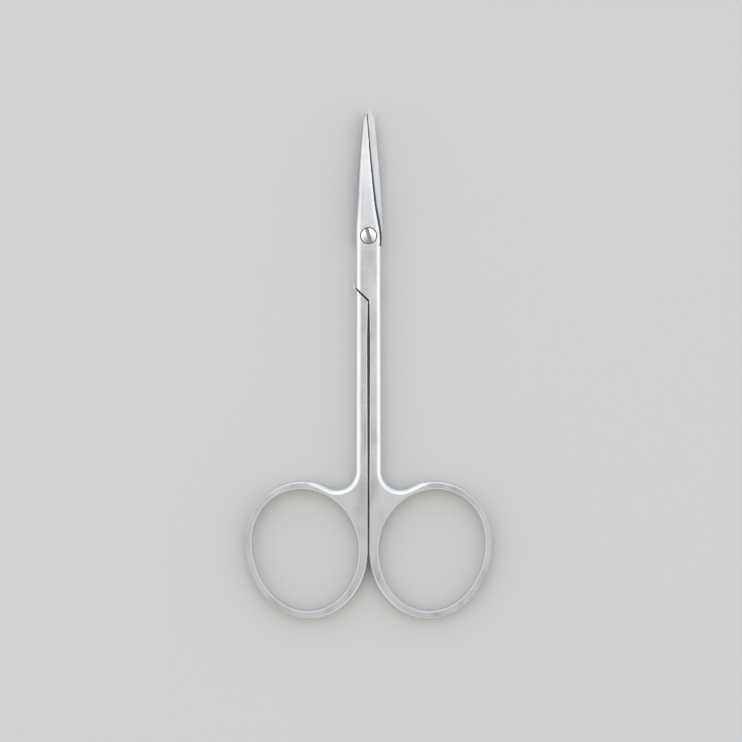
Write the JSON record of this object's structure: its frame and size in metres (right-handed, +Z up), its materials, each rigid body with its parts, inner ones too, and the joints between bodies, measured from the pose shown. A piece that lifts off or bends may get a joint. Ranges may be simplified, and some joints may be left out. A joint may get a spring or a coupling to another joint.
{
  "type": "plastic surgery scissors",
  "caption": "Small ring-handled surgical scissors with straight pointed blades, slim shanks and a slotted screw joint that opens and closes.",
  "frame": {"origin": "on the pivot axis, at the flat underside that the closed scissors lie on", "axes": "+Y from the pivot towards the blade tips, +Z up through the joint towards the screw's head, +X to the side of the ring that belongs to the upper half"},
  "size_m": [0.0472, 0.0975, 0.0033],
  "materials": {
    "satin_steel": "satin ground stainless steel",
    "polished_steel": "polished stainless steel"
  },
  "bodies": {
    "lower": {"lower_half": "satin_steel", "pivot_screw": "polished_steel"},
    "upper": {"upper_half": "satin_steel"}
  },
  "joints": [
    {"name": "pivot", "type": "hinge", "parent": "lower", "child": "upper", "pos_m": [0, 0, 0.0016], "axis": [0, 0, 1], "range_deg": [0, 70]}
  ]
}
